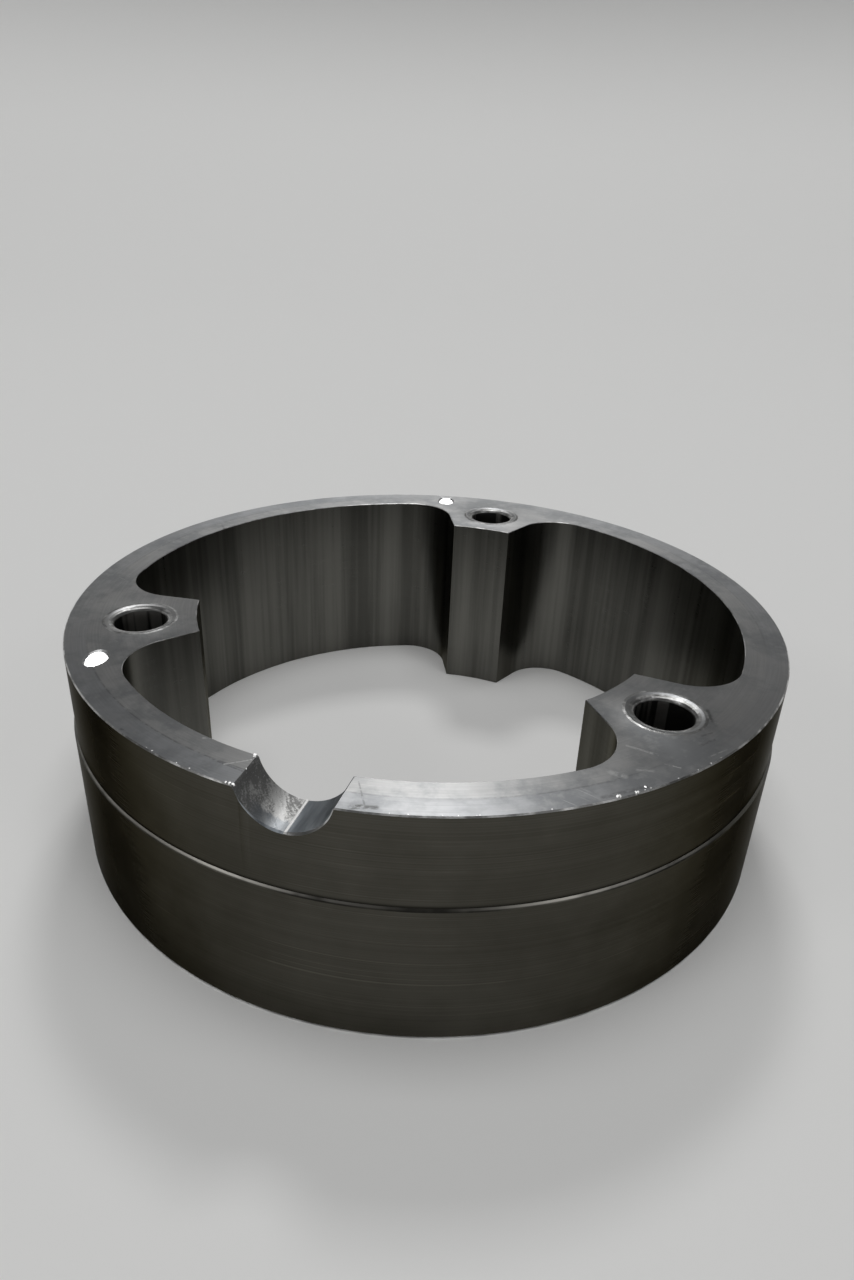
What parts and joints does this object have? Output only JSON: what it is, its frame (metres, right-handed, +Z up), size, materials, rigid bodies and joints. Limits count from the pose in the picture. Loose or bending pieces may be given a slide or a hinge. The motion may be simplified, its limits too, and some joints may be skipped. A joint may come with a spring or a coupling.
{
  "type": "turned ring spacer",
  "caption": "Short turned aluminium ring with a stepped outside, inner screw bosses and a half-round notch in its rim.",
  "frame": {"origin": "centre of the bottom face, on the turning axis", "axes": "+Z up the turning axis to the notched face, -Y out through the middle of the notch"},
  "size_m": [0.1006, 0.1006, 0.0307],
  "materials": {
    "machined_aluminium": "as machined, satin, with fine turning marks"
  },
  "bodies": {
    "root": {"ring_body": "machined_aluminium"}
  },
  "joints": []
}
